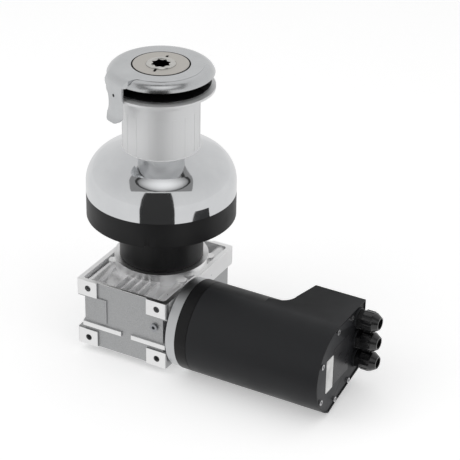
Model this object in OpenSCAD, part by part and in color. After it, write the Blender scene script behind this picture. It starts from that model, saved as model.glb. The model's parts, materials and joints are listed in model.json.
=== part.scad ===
// Electric self-tailing sailboat winch: deck winch, worm gearbox and motor below the deck.
// Millimetres. The origin is on the winch axis, on the underside of the base ring (the deck).
// +Z is up, +X runs from the gearbox to the motor, the gearbox foot face looks to -Y.

/* [Base and stem] */
// Outer radius of the base ring and of the bell of the drum
base_r = 94.3; // [93:0.1:97]
// Height of the base ring above the deck
base_h = 32.6; // [32:0.1:33.4]
// Thickness of the floor of the base
base_floor = 8; // [7:0.5:9]
// Wall of the base ring
base_wall = 4.5; // [3.5:0.1:5]
// Radius of the deck bolt circle
deck_bolt_circle_r = 76; // [74:0.5:78]
// Number of deck bolts
deck_bolt_n = 6; // [5:1:8]
// Diameter of a deck bolt hole
deck_bolt_d = 8.5; // [6.5:0.5:9]
// Radius of the neck between the base and the gearbox
neck_r = 53.2; // [52:0.1:54.5]
// Wall of the neck
neck_wall = 6; // [5:0.5:7]
// Distance from the deck down to the worm and motor plane
drive_drop = 114; // [113.5:0.1:116]

/* [Drum] */
// Radius of the gripping surface of the drum
drum_r = 48.3; // [47.6:0.1:49.5]
// Height where the side of the bell starts to round over
bell_side_z = 46; // [45:0.5:50]
// Radius of the shoulder of the bell
bell_shoulder_r = 42; // [38:0.5:43]
// Angle of the shoulder arc before the slope to the drum
bell_shoulder_angle = 62; // [58:1:68]
// Wall of the bell
bell_wall = 4; // [3.5:0.1:4.2]
// Radius of the upper flange of the drum
flange_r = 66.8; // [65:0.1:68]
// Thickness of the upper flange
flange_t = 3; // [2.5:0.1:3.5]
// Height of the top of the drum
drum_top_z = 176.1; // [175:0.1:177]
// Radius of the fillet under the upper flange
flange_fillet = 13; // [10:0.5:14]
// Number of gripping ribs round the drum
rib_n = 18; // [14:1:24]
// Height of the gripping ribs above the surface between them
rib_h = 0.25; // [0.15:0.05:0.6]

/* [Stem bearings] */
// Radius of the stem where the drum runs on it
stem_r = 35; // [34.6:0.1:35.4]
// Diameter of a bearing roller
roller_d = 5; // [4.6:0.1:5.4]
// Length of a bearing roller
roller_len = 18; // [16:1:20]
// Number of rollers in one bearing
roller_n = 14; // [10:1:16]
// Height of the bottom of the lower roller bearing
lower_bearing_z = 64; // [63:0.5:66]
// Height of the bottom of the upper roller bearing
upper_bearing_z = 146; // [140:0.5:150]

/* [Gear train] */
// Module of the winch gears
gear_m = 2.5;
// Teeth of the gear on the spindle
pinion_z = 16;
// Teeth of an idler gear
idler_z = 24;
// Width of the winch gears
gear_w = 14; // [12:0.5:15]
// Height of the underside of the winch gears
gear_z0 = 36; // [35.5:0.1:37]
// Thinning of each tooth, which makes the backlash
tooth_thinning = 0.3; // [0.2:0.05:0.4]
// Radius of an idler pin
idler_pin_r = 8; // [7:0.5:9]

/* [Spindle and socket] */
// Radius of the main spindle
spindle_r = 12.5; // [12:0.1:12.9]
// Distance across the points of the star socket
star_d = 25; // [24:0.1:26]
// Depth of the star socket
star_depth = 14; // [12:0.5:15]
// Radius of the raised hub round the star socket
hub_r = 18.2; // [17:0.1:19]

/* [Self-tailing head] */
// Radius of the jaws
jaw_r = 61.5; // [60:0.1:63]
// Radius of the floor of the line groove between the jaws
groove_r = 45; // [44:0.5:47]
// Height of the gap between the jaws at the groove floor
groove_h = 3.6; // [3.2:0.1:4]
// Number of gripping ribs on each jaw
jaw_rib_n = 20; // [16:2:24]
// Travel of the sprung lower jaw
jaw_travel = 2.5; // [1.5:0.1:2.8]
// Height of the underside of the cover ring above the top of the drum
cover_rise = 17.2; // [17:0.1:18]
// Thickness of the cover ring
cover_t = 9.5; // [9:0.1:10.5]
// Inner radius of the cover ring, round the cap
cover_bore_r = 36.4; // [36:0.1:37.5]
// Radius where the bevel of the cover ring starts
cover_bevel_r = 52.9; // [50:0.1:55]
// Direction of the middle of the self-tailing arm, seen from above
arm_azimuth = 247; // [240:1:252]
// Height of the lower end of the arm
arm_bottom_z = 146.6; // [144:0.2:149]
// Thickness of the arm
arm_t = 2.6; // [2.4:0.1:3.4]

/* [Gearbox] */
// Width of the housing along X
box_w = 130; // [129:0.5:131]
// Offset of the middle of the housing from the winch axis along X
box_cx = -1; // [-2:0.5:0]
// Distance from the winch axis to the front foot face
box_front = 97; // [96:0.5:98]
// Distance from the winch axis to the back face
box_back = 73.4; // [72:0.1:75]
// Height of the housing
box_h = 93.2; // [92:0.1:94.5]
// Radius of the output boss
boss_r = 60; // [59:0.5:61]
// Height of the output bosses above the middle plane
boss_h = 56; // [55.5:0.1:56.5]
// Wall of the housing rim
rim_wall = 6; // [5:0.5:7]
// Depth of the recesses in the top and the bottom
recess_depth = 22; // [18:1:24]
// Spacing of the foot holes along X
foot_dx = 100; // [98:0.5:102]
// Spacing of the foot holes along Z
foot_dz = 71.8; // [70:0.2:73]
// Diameter of a front foot hole
foot_hole_d = 8.5; // [7:0.5:9]
// Diameter of a back foot hole
back_hole_d = 6.8; // [6:0.2:8]
// Depth of a foot hole
foot_hole_depth = 20; // [16:1:22]
// Distance between the worm axis and the wheel axis
centre_distance = 49; // [48.8:0.1:49.3]
// Axial module of the worm
worm_m = 3;
// Teeth of the worm wheel
wheel_z = 25;
// Width of the worm wheel
wheel_w = 18; // [16:0.5:20]
// Length of the threaded part of the worm
worm_len = 48; // [42:1:52]
// Radius of the worm shaft
worm_shaft_r = 7; // [6:0.1:7.3]

/* [Motor] */
// Radius of the motor
motor_r = 58; // [57.5:0.1:58.3]
// Distance from the gearbox to the front of the motor ring, across the input flange
motor_gap = 16.7; // [16.2:0.1:18]
// Length of the front ring of the motor
ring_len = 16.4; // [15:0.1:18]
// Length of the motor housing behind the ring
motor_len = 179.6; // [176:0.1:184]
// Wall of the motor housing
motor_wall = 3.5; // [3:0.1:4]
// Distance from the motor axis to the back face of the control box
control_back = 71; // [69:0.5:73]
// Length of the control box along X at full depth
control_len = 68; // [64:1:72]
// Radius of the armature
armature_r = 43; // [41:0.5:45]
// Length of the armature
armature_len = 70; // [60:1:74]

/* [Cable glands] */
// Distance between neighbouring glands
gland_pitch = 28; // [27:0.5:29]
// Distance of the gland row from the motor axis
gland_row = 52; // [50:0.5:53]
// Height of the middle gland above the motor axis
gland_mid_z = 14; // [12:0.5:16]
// Outer radius of a gland nut
gland_r = 13; // [12:0.1:13.4]
// Radius of the cable hole in a gland seal
cable_r = 5; // [4:0.5:6]

/* [Hidden] */
$fn = 96;

// Fits: running is the radial play of a moving fit, seat the play of a fixed one.
running = 0.06;
seat = 0.05;
gap = 0.35;
eps = 0.02;
big = 400;

// Places that follow from the sizes above
gearbox_z = -drive_drop;
worm_y = -centre_distance;
pinion_r = gear_m * pinion_z / 2;
idler_r = gear_m * idler_z / 2;
idler_centre = pinion_r + idler_r;
ring_z = pinion_z + 2 * idler_z;
ring_r = gear_m * ring_z / 2;
gear_z1 = gear_z0 + gear_w;
gear_addendum = 0.95 * gear_m;
gear_dedendum = 1.25 * gear_m;
ring_outer_r = base_r - bell_wall - 0.5;
hub_bore_r = stem_r + roller_d + 2 * running + 0.4;
roller_ring_r = (stem_r + hub_bore_r) / 2;
thrust_z = lower_bearing_z - 0.3;
worm_r = centre_distance - worm_m * wheel_z / 2;
wheel_r = worm_m * wheel_z / 2;
worm_pitch = PI * worm_m;
worm_tip_r = worm_r + 0.9 * worm_m;
worm_root_r = worm_r - 1.2 * worm_m;
wheel_tip_r = wheel_r + 0.9 * worm_m;
lead_angle = atan(worm_m / (2 * worm_r));
spindle_low_z = gearbox_z - 34;
cover_z = drum_top_z + cover_rise;
spindle_top_z = cover_z - 10;
hub_len = 2 * (boss_h - 12);
neck_z0 = gearbox_z + boss_h;
housing_x0 = box_cx - box_w / 2;
housing_x1 = box_cx + box_w / 2;
motor_x0 = housing_x1 + motor_gap;
motor_x1 = motor_x0 + ring_len;
motor_x2 = motor_x1 + motor_len;
cover_top_z = cover_z + cover_t;
cap_r = cover_bore_r - 2;
socket_z0 = spindle_top_z + 0.5;
socket_top_z = cover_top_z + 1.6;

// Shared shapes

// An extrusion along X of a drawing in the plane of Y and Z, from x0 to x1
module along_x(x0, x1) {
    translate([x0, 0, 0]) rotate([90, 0, 90]) linear_extrude(x1 - x0) children();
}

// A round bar along X
module bar_x(r, x0, x1) {
    translate([x0, 0, 0]) rotate([0, 90, 0]) cylinder(r = r, h = x1 - x0);
}

// A tube with its bottom at z0 and its top at z1
module tube(r_out, r_in, z0, z1) {
    translate([0, 0, z0]) difference() {
        cylinder(r = r_out, h = z1 - z0);
        translate([0, 0, -1]) cylinder(r = r_in, h = z1 - z0 + 2);
    }
}

// A tube along X from x0 to x1
module tube_x(r_out, r_in, x0, x1) {
    translate([x0, 0, 0]) rotate([0, 90, 0]) tube(r_out, r_in, 0, x1 - x0);
}

// Copies of the children spaced evenly on a circle
module ring_of(n, r, start = 0) {
    for (i = [0:n - 1]) rotate([0, 0, start + i * 360 / n]) translate([r, 0, 0]) children();
}

// Copies of the children at the listed angles on a circle
module at_angles(angles, r) {
    for (a = angles) rotate([0, 0, a]) translate([r, 0, 0]) children();
}

// A rectangle with round corners
module round_rect(w, d, r) {
    square([w - 2 * r, d], center = true);
    square([w, d - 2 * r], center = true);
    for (x = [-1, 1], y = [-1, 1]) translate([x * (w / 2 - r), y * (d / 2 - r)]) circle(r);
}

// A socket head screw that points down from z = 0, with its head above
module cap_screw(d, len, head_d, head_h) {
    difference() {
        union() {
            translate([0, 0, -len]) cylinder(d = d, h = len + eps);
            cylinder(d = head_d, h = head_h);
        }
        translate([0, 0, head_h * 0.45]) cylinder(d = head_d * 0.55, h = head_h, $fn = 6);
    }
}

// A shielded ball bearing, with the grooves between rings and shields
module bearing(r_out, r_in, w) {
    groove = (r_out - r_in) * 0.16;
    difference() {
        tube(r_out, r_in, 0, w);
        for (z = [-1, w - 0.6]) translate([0, 0, z]) {
            tube(r_in + groove * 2, r_in + groove, 0, 1.6);
            tube(r_out - groove, r_out - groove * 2, 0, 1.6);
        }
    }
}

// Involute teeth
function inv(a) = tan(a) * 180 / PI - a;
function half_tooth(m, z, r, thin) =
    let (rp = m * z / 2, rb = rp * cos(20))
    90 / z - thin / 2 / rp * 180 / PI + inv(20) - inv(acos(min(1, rb / max(r, rb))));
function polar(r, a) = [r * cos(a), r * sin(a)];
function gear_outline(m, z, r0, r1, thin, n = 3) = [
    for (i = [0:z - 1], s = [-1, 1], k = [0:n])
        let (kk = s < 0 ? k : n - k, r = r0 + (r1 - r0) * kk / n)
        polar(r, i * 360 / z + s * half_tooth(m, z, r, thin))
];

// Base, neck and stem

module base_flange() {
    color("#1c1c1e") difference() {
        union() {
            cylinder(r = base_r - 1, h = 1 + eps);
            translate([0, 0, 1]) cylinder(r = base_r, h = base_floor - 1);
            tube(base_r, base_r - base_wall, base_floor - eps, base_h);
            ring_of(2, idler_centre) cylinder(r = idler_pin_r + 5, h = gear_z0 - gap);
            tube(stem_r + 14, 24, base_floor - eps, base_floor + 3);
        }
        translate([0, 0, -1]) cylinder(r = 24, h = 12 + base_floor);
        translate([0, 0, -1]) cylinder(r = neck_r + seat, h = 1 + register_h);
        ring_of(deck_bolt_n, deck_bolt_circle_r, 30)
            translate([0, 0, -1]) cylinder(d = deck_bolt_d, h = base_floor + 2);
        ring_of(2, idler_centre)
            translate([0, 0, 3]) cylinder(r = idler_pin_r + seat, h = gear_z0);
        at_angles(neck_bolt_angles, neck_bolt_r)
            translate([0, 0, -1]) cylinder(d = 6 + 2 * gap, h = base_floor + 5);
        ring_of(6, stem_bolt_r, 30)
            translate([0, 0, 3]) cylinder(d = 5 + 2 * seat, h = base_floor + 5);
        rotate([0, 0, 290]) translate([base_r, 0, 0]) rotate([0, 90, 0])
            cylinder(d = 7, h = 4 * base_wall, center = true);
    }
}
register_h = 1.5;
neck_bolt_r = neck_r - neck_wall - 3.5;
stem_bolt_r = stem_r + 6.6;
neck_bolt_angles = [60, 120, 240, 300];

module neck() {
    color("#1c1c1e") difference() {
        union() {
            translate([0, 0, neck_z0]) cylinder(r = neck_r - 0.8, h = 0.8 + eps);
            translate([0, 0, neck_z0 + 0.8]) cylinder(r = neck_r, h = register_h - eps - neck_z0 - 0.8);
        }
        translate([0, 0, neck_z0 + 10]) cylinder(r = neck_r - neck_wall - 8, h = -neck_z0 - 20);
        translate([0, 0, neck_z0 - 1]) cylinder(r = 24, h = -neck_z0 + 4);
        at_angles(neck_bolt_angles, neck_bolt_r) translate([0, 0, -8]) cylinder(d = 6 + 2 * seat, h = 12);
        ring_of(6, neck_bolt_r, 30)
            translate([0, 0, neck_z0 - 1]) cylinder(d = 6 + 2 * seat, h = 9);
    }
}

module neck_bolts_upper() {
    color("silver") at_angles(neck_bolt_angles, neck_bolt_r)
        translate([0, 0, base_floor + 3 + eps]) cap_screw(6, base_floor + 9, 10, 6);
}

module neck_bolts_lower() {
    color("silver") ring_of(6, neck_bolt_r, 30)
        translate([0, 0, neck_z0 - 12]) cylinder(d = 6, h = 19);
}

module centre_stem() {
    stem_z0 = base_floor + 3;
    color("#8d9094") difference() {
        union() {
            translate([0, 0, stem_z0]) cylinder(r = stem_r + 13, h = 8);
            translate([0, 0, stem_z0]) cylinder(r = stem_r + 1.5, h = thrust_z - 4 - stem_z0);
            translate([0, 0, thrust_z - 6]) cylinder(r = stem_r + 7, h = 4);
            translate([0, 0, stem_z0]) cylinder(r = stem_r, h = cover_z - stem_z0);
        }
        translate([0, 0, stem_z0 - 1]) cylinder(r = 24, h = gear_z1 + 3 - stem_z0);
        cylinder(r = 17, h = big);
        translate([0, 0, spindle_top_z - 22]) cylinder(r = 19, h = big);
        for (s = [-1, 1]) translate([s * idler_centre, 0, gear_z0 - 1.5]) {
            cylinder(r = idler_r + gear_addendum + 1.5, h = gear_w + 3);
            translate([0, 0, -gear_z0 + stem_z0]) cylinder(r = idler_pin_r + 5.5, h = gear_z0);
        }
        ring_of(6, stem_bolt_r, 30) translate([0, 0, stem_z0 - 1]) cylinder(d = 5 + 2 * gap, h = 12);
        at_angles(neck_bolt_angles, neck_bolt_r) translate([0, 0, stem_z0 - 1]) cylinder(d = 11, h = 10);
        ring_of(4, 27, 45) translate([0, 0, cover_z - 12]) cylinder(d = 5 + 2 * seat, h = 20);
    }
}

module stem_bolts() {
    color("silver") ring_of(6, stem_bolt_r, 30)
        translate([0, 0, base_floor + 11 + eps]) cap_screw(5, base_floor + 8, 8.5, 5);
}

// Drum and its bearings

arc_cx = base_r - bell_shoulder_r;
neck_join_z = bell_side_z + bell_shoulder_r * sin(bell_shoulder_angle)
    + (arc_cx + bell_shoulder_r * cos(bell_shoulder_angle) - drum_r) / tan(bell_shoulder_angle);

// Half section of the bell, moved in by w from the outer face
module bell_section(w) {
    r = bell_shoulder_r - w;
    a = bell_shoulder_angle;
    c = [arc_cx, bell_side_z];
    end = c + r * [cos(a), sin(a)];
    inner = [5, end[1] + (end[0] - 5) / tan(a)];
    translate([5, base_h]) square([base_r - w - 5, bell_side_z - base_h]);
    intersection() {
        translate(c) circle(r);
        polygon([c, c + [2 * r, 0], c + 2 * r * [1, tan(a / 2)], c + 2 * r * [cos(a), sin(a)]]);
    }
    polygon([[5, bell_side_z], c, end, inner]);
}

module drum_section() {
    hub_out = hub_bore_r + 4.5;
    difference() {
        union() {
            bell_section(0);
            translate([5, bell_side_z]) square([drum_r - 5, drum_top_z - bell_side_z]);
            translate([5, drum_top_z - flange_t]) square([flange_r - 5, flange_t]);
            difference() {
                translate([drum_r - 1, drum_top_z - flange_t - flange_fillet])
                    square([flange_fillet + 1, flange_fillet + 1]);
                translate([drum_r + flange_fillet, drum_top_z - flange_t - flange_fillet])
                    circle(flange_fillet);
            }
        }
        difference() {
            translate([0, -gap]) bell_section(bell_wall);
            translate([0, lower_bearing_z]) square([hub_out, big]);
            translate([ledge_r, gear_z1 + eps]) square([base_r, ledge_h]);
        }
        translate([0, base_h - 1]) square([base_r - bell_wall, 1 + bell_side_z - base_h]);
        translate([0, base_h - 1]) square([base_r + 5, 1 + gap]);
        square([hub_bore_r, big]);
        translate([0, lower_bearing_z + roller_len + 6])
            square([hub_bore_r + 1.5, upper_bearing_z - lower_bearing_z - roller_len - 10]);
    }
}

module drum() {
    color("#d5d7d9") difference() {
        union() {
            rotate_extrude() drum_section();
            intersection() {
                translate([0, 0, neck_join_z + 1]) cylinder(r = drum_r + rib_h, h = rib_len);
                ring_of(rib_n, drum_r - 2) translate([0, -2.2, neck_join_z]) cube([5, 4.4, big]);
            }
        }
        ring_of(8, ring_screw_r, 22.5)
            translate([0, 0, gear_z1 - 1]) cylinder(d = small_screw_d + 2 * seat, h = ledge_h);
        ring_of(6, jaw_screw_r)
            translate([0, 0, drum_top_z - 12]) cylinder(d = small_screw_d + 2 * seat, h = 20);
        tube(jaw_spring_r + 2.2, jaw_spring_r - 2.2, drum_top_z - 2, drum_top_z + 1);
    }
}
rib_len = 52;
ring_screw_r = ring_r + gear_dedendum + 2.9;
ledge_r = ring_screw_r - 2.6;
ledge_h = 6;
small_screw_d = 3;
jaw_screw_r = (hub_bore_r + groove_r) / 2 + 0.2;
jaw_spring_r = 54;

module drum_ring_gear() {
    color("#8c8f93") difference() {
        tube(ring_outer_r, ring_r - gear_addendum, gear_z0, gear_z1);
        translate([0, 0, gear_z0 - 1]) linear_extrude(gear_w + 2) rotate([0, 0, 180 / ring_z])
            polygon(gear_outline(gear_m, ring_z, ring_r - gear_addendum - 1,
                ring_r + gear_dedendum, -tooth_thinning));
        ring_of(8, ring_screw_r, 22.5)
            translate([0, 0, gear_z0 - 1]) cylinder(d = small_screw_d + 2 * seat, h = gear_w + 2);
    }
}

module ring_gear_screws() {
    color("silver") ring_of(8, ring_screw_r, 22.5)
        translate([0, 0, gear_z0 + 0.5]) cylinder(d = small_screw_d, h = gear_w + ledge_h - 2);
}

module thrust_washer() {
    color("#e6e2d3") tube(stem_r + 9, stem_r + running, thrust_z - 2 + eps, thrust_z);
}

module bearing_spacer() {
    color("#e6e2d3") tube(stem_r + 3.5, stem_r + running,
        lower_bearing_z + roller_len + 4.1, upper_bearing_z - 0.1);
}

module drum_rollers() {
    color("#b9bcc0") for (z = [lower_bearing_z, upper_bearing_z])
        ring_of(roller_n, roller_ring_r)
            translate([0, 0, z + 2]) cylinder(d = roller_d, h = roller_len, $fn = 24);
}

module roller_cages() {
    color("#2e3b4a") for (z = [lower_bearing_z, upper_bearing_z]) difference() {
        tube(hub_bore_r - 0.8, stem_r + 0.8, z + 0.2, z + roller_len + 3.8);
        ring_of(roller_n, roller_ring_r)
            translate([0, 0, z + 1.9]) cylinder(d = roller_d + 0.4, h = roller_len + 0.2, $fn = 24);
    }
}

// Gear train in the bell

module idler(turn) {
    color("#a5893f") difference() {
        translate([0, 0, gear_z0]) rotate([0, 0, turn]) linear_extrude(gear_w)
            polygon(gear_outline(gear_m, idler_z, idler_r - gear_dedendum,
                idler_r + gear_addendum, tooth_thinning));
        translate([0, 0, gear_z0 - 1]) cylinder(r = idler_pin_r + running, h = gear_w + 2);
        for (z = [gear_z0 - 1, gear_z1 - 1.5]) tube(idler_r - 7, idler_pin_r + 5, z, z + 2.5);
    }
}
module idler_gear_left() { translate([-idler_centre, 0, 0]) idler(180 / idler_z); }
module idler_gear_right() { translate([idler_centre, 0, 0]) idler(180 / idler_z); }

module idler_pins() {
    color("#c9ccd0") ring_of(2, idler_centre) {
        translate([0, 0, 3 + eps]) cylinder(r = idler_pin_r, h = gear_z1 - 2);
        translate([0, 0, gear_z1 + gap]) cylinder(r = idler_pin_r + 2.5, h = 2.5);
    }
}

module spindle_gear() {
    color("#8c8f93") difference() {
        translate([0, 0, gear_z0]) linear_extrude(gear_w)
            polygon(gear_outline(gear_m, pinion_z, pinion_r - gear_dedendum,
                pinion_r + gear_addendum, tooth_thinning));
        translate([0, 0, gear_z0 - 1]) cylinder(r = spindle_r + seat, h = gear_w + 2);
    }
}

module main_spindle() {
    color("#c9ccd0") difference() {
        union() {
            translate([0, 0, spindle_low_z]) cylinder(r1 = spindle_r - 1.5, r2 = spindle_r, h = 1.5);
            translate([0, 0, spindle_low_z + 1.5])
                cylinder(r = spindle_r, h = spindle_top_z - spindle_low_z - 1.5);
            translate([0, 0, spindle_top_z - eps]) cylinder(r = 8, h = 3.5);
            translate([spindle_r - 2, -3.9, spindle_low_z + 10]) cube([5, 7.8, 50]);
            translate([0, 0, gear_z1 + 0.2]) cylinder(r = spindle_r + 2.5, h = 2);
        }
        translate([0, 0, gear_z0 - 1.6]) tube(spindle_r + 2, spindle_r - 1, 0, 1.3);
    }
}

module spindle_bush() {
    color("#b5893d")
        tube(19 - seat, spindle_r + running, spindle_top_z - 22 + eps, spindle_top_z - 3);
}

module spindle_lower_bearing() {
    color("#b9bcc0") translate([0, 0, 2]) bearing(24 - seat, spindle_r + running, 12);
}

module star(d) {
    for (a = [0, 45]) rotate([0, 0, a]) square(d / sqrt(2), center = true);
}

module handle_socket() {
    color("#d9d9d6") difference() {
        union() {
            translate([0, 0, socket_z0]) cylinder(r = hub_r, h = socket_top_z - socket_z0 - 1);
            translate([0, 0, socket_top_z - 1 - eps]) cylinder(r1 = hub_r, r2 = hub_r - 1, h = 1);
        }
        translate([0, 0, socket_top_z - star_depth]) linear_extrude(star_depth + 1) star(star_d);
        translate([0, 0, socket_top_z - 1])
            cylinder(r1 = star_d / 2 - 1, r2 = star_d / 2 + 1.2, h = 1 + eps);
        translate([0, 0, socket_z0 - 1]) cylinder(r = 8 + seat, h = 4.2);
    }
}

// Self-tailing head

jaw_low_z = drum_top_z + 0.8 + jaw_travel;
groove_z = jaw_low_z + 4.6;
jaw_up_z = groove_z + groove_h;
carrier_top_z = cover_z - 1.2;

// One jaw lying with its ribbed cone upwards, from z = 0 to h at the groove floor
module jaw(h, bore) {
    rim = 2.2;
    rib = 0.9;
    slope_r = groove_r + 3;
    rotate_extrude() polygon([
        [bore, 0], [jaw_r - 1, 0], [jaw_r, 1], [jaw_r, rim - rib], [slope_r, h - rib], [bore, h - rib]
    ]);
    ring_of(jaw_rib_n, 0) rotate([90, 0, 0]) translate([0, 0, -1.2]) linear_extrude(2.4)
        polygon([[bore + 1, 0.5], [jaw_r - 0.6, 0.5], [jaw_r - 0.6, rim], [slope_r, h], [bore + 1, h]]);
}

module lower_jaw() {
    color("#161618") difference() {
        translate([0, 0, jaw_low_z]) jaw(4.6, groove_r + running);
        tube(jaw_spring_r + 2.4, jaw_spring_r - 2.4, jaw_low_z - 1, jaw_low_z + 0.6);
    }
}

module upper_jaw() {
    color("#161618") difference() {
        translate([0, 0, carrier_top_z]) mirror([0, 0, 1])
            jaw(carrier_top_z - jaw_up_z, groove_r - 6);
        tube(groove_r + seat, 1, jaw_up_z - 4, carrier_top_z - 3);
        ring_of(6, jaw_screw_r) {
            translate([0, 0, jaw_up_z - 4]) cylinder(d = small_screw_d + 0.3, h = 40);
            translate([0, 0, carrier_top_z - 2.2]) cylinder(d = 6, h = 5);
        }
    }
}

module jaw_carrier() {
    color("#161618") {
        difference() {
            tube(groove_r, hub_bore_r, drum_top_z + eps, carrier_top_z - 3 - eps);
            ring_of(6, jaw_screw_r) translate([0, 0, drum_top_z - 1])
                cylinder(d = small_screw_d + 0.3, h = 40);
        }
    }
}

module jaw_screws() {
    color("silver") ring_of(6, jaw_screw_r) translate([0, 0, carrier_top_z - 2.2 + eps])
        cap_screw(small_screw_d, carrier_top_z - drum_top_z + 6, 5.4, 1.9);
}

// A closed solid through rings of points, every ring with m points
module loft(rings) {
    m = len(rings[0]);
    n = len(rings) - 1;
    polyhedron([for (ring = rings) each ring], concat(
        [[for (k = [m - 1:-1:0]) k]],
        [[for (k = [0:m - 1]) n * m + k]],
        [for (i = [0:n - 1], k = [0:m - 1])
            [i * m + k, i * m + (k + 1) % m, (i + 1) * m + (k + 1) % m, (i + 1) * m + k]]
    ));
}

// A wire of radius w wound on a circle of radius r, from z0 to z1
module wound_wire(r, w, z0, z1, turns, steps) {
    n = turns * steps;
    loft([for (i = [0:n]) [for (k = [0:5])
        let (a = i * 360 / steps, d = r + w * cos(60 * k))
        [d * cos(a), d * sin(a), z0 + (z1 - z0) * i / n + w * sin(60 * k)]]]);
}

module jaw_spring() {
    color("#b9bcc0")
        wound_wire(jaw_spring_r, 0.6, drum_top_z - 1.3, jaw_low_z - 0.1, 2, 36);
}

// Half section of the cover ring: a flat top, a fine step and a rolled rim
module cover_section() {
    rim_r = flange_r - cover_bevel_r;
    difference() {
        union() {
            translate([20, cover_z + eps]) square([cover_bevel_r - 20, cover_t - eps]);
            intersection() {
                translate([cover_bevel_r, cover_top_z - cover_step - rim_r]) circle(rim_r);
                translate([cover_bevel_r - 1, cover_z + eps]) square([rim_r + 1, cover_t]);
            }
        }
        translate([0, cover_z + 5]) square([cover_bore_r, big]);
    }
}

cover_step = 0.4;
arm_in_r = flange_r + 1;
arm_out_r = arm_in_r + arm_t;
stripper_pin_z = drum_top_z + 4;

// Section of the arm's top: level with the cover, then bent down over the rim
module arm_top_section() {
    bend_x = arm_out_r - cover_t;
    translate([cover_bore_r + 2, cover_z + eps]) square([bend_x - cover_bore_r - 2, cover_t - eps]);
    intersection() {
        translate([bend_x, cover_z]) circle(cover_t);
        translate([bend_x - 1, cover_z + eps]) square([cover_t + 2, cover_t]);
    }
}

// Section of the arm's leg: down outside the jaws and out again to a lip
module arm_leg_section() {
    flare_h = 11;
    flare_r = 15;
    translate([arm_in_r, arm_bottom_z + flare_h])
        square([arm_t, cover_z - arm_bottom_z - flare_h + 1]);
    intersection() {
        translate([arm_out_r + flare_r, arm_bottom_z + flare_h]) difference() {
            circle(flare_r + arm_t);
            circle(flare_r);
        }
        translate([arm_in_r, arm_bottom_z - 2]) square([flare_h, flare_h + 2 + eps]);
    }
}

// Outline of the arm's leg as seen from outside, across and up
module arm_leg_outline() {
    lip = [30, 21];
    difference() {
        union() {
            translate([-24, arm_bottom_z + 6]) square([38.6, cover_z - arm_bottom_z + 4]);
            translate([-0.5, arm_bottom_z + lip[1] / 2]) round_rect(lip[0], lip[1], 9);
        }
        translate([-36, arm_bottom_z + 21.4]) circle(24.5);
        translate([-28, arm_bottom_z - 1]) square([12.6, 14]);
    }
}

// Outline of the arm's top as seen from above: it leaves the cover along a tangent
module arm_top_outline() {
    polygon([
        [38, 35.5], [22.5, 57], [22, 80], [-14.6, 80], [-15.4, 70], [-18, 62],
        [-18, 54], [-19.2, 51], [-22.3, 47.9], [0, 40]
    ]);
}

module self_tailing_arm() {
    color("#d5d7d9") difference() {
        union() {
            rotate_extrude() cover_section();
            intersection() {
                rotate([0, 0, arm_azimuth - 50]) rotate_extrude(angle = 100) arm_top_section();
                rotate([0, 0, arm_azimuth - 90]) translate([0, 0, cover_z - 1])
                    linear_extrude(cover_t + 2) arm_top_outline();
            }
            intersection() {
                rotate([0, 0, arm_azimuth - 30]) rotate_extrude(angle = 60) arm_leg_section();
                rotate([0, 0, arm_azimuth + 90]) translate([0, 5, 0]) rotate([90, 0, 0])
                    linear_extrude(big) arm_leg_outline();
            }
        }
        translate([0, 0, cover_z - 1]) cylinder(r = 20, h = 20);
        ring_of(4, 27, 45) translate([0, 0, cover_z - 1]) cylinder(d = 5 + 2 * gap, h = 20);
        rotate([0, 0, arm_azimuth]) translate([flange_r, 0, stripper_pin_z]) rotate([0, 90, 0])
            cylinder(d = 4 + 2 * seat, h = 12);
    }
}

module arm_screws() {
    color("silver") ring_of(4, 27, 45)
        translate([0, 0, cover_z + 5 + eps]) cap_screw(5, 15, 8.5, 2.2);
}

module line_stripper() {
    post_r = jaw_r + 1.3;
    color("#161618") rotate([0, 0, arm_azimuth]) {
        translate([groove_r + 5.5, -3, groove_z + 0.15])
            cube([post_r - groove_r - 4, 6, groove_h - 0.6]);
        translate([post_r, -5, drum_top_z + 0.5]) cube([arm_in_r - 0.2 - post_r, 10, 11.5]);
        translate([post_r + 1, 0, stripper_pin_z]) rotate([0, 90, 0])
            cylinder(d = 4, h = arm_out_r - post_r - 1.3);
    }
}

module top_cap() {
    color("#b5b1aa") difference() {
        union() {
            translate([0, 0, cover_z + 8]) cylinder(r = cap_r, h = cover_t - 8 + 0.3);
            tube(cap_r, cap_r - 2.4, cover_z + 5 + eps, cover_z + 8 + eps);
        }
        translate([0, 0, cover_z]) cylinder(r = hub_r + gap, h = 30);
        at_angles([101, 281], hub_r + 3.5) translate([0, 0, cover_top_z])
            cube([7, 3.2, 4], center = true);
    }
}

module cap_ring() {
    color("#101011") tube(cover_bore_r - seat, cap_r + seat, cover_z + 5 + eps, cover_top_z - 0.3);
}

// Gearbox

foot_x = [-foot_dx / 2, foot_dx / 2];
foot_z = [-foot_dz / 2, foot_dz / 2];
box_d = box_front + box_back;
box_cy = (box_back - box_front) / 2;
worm_bearing_r = 20;
worm_bearing_w = 12;
worm_bearing_x = 34;
wheel_room_r = wheel_tip_r + 3;
wheel_room_h = wheel_w / 2 + 3;
output_bearing_r = 34;
output_bearing_w = 15;
hub_out_r = 20;
cover_flange_t = 5;
boss_low_h = motor_r - cover_flange_t;

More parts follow.
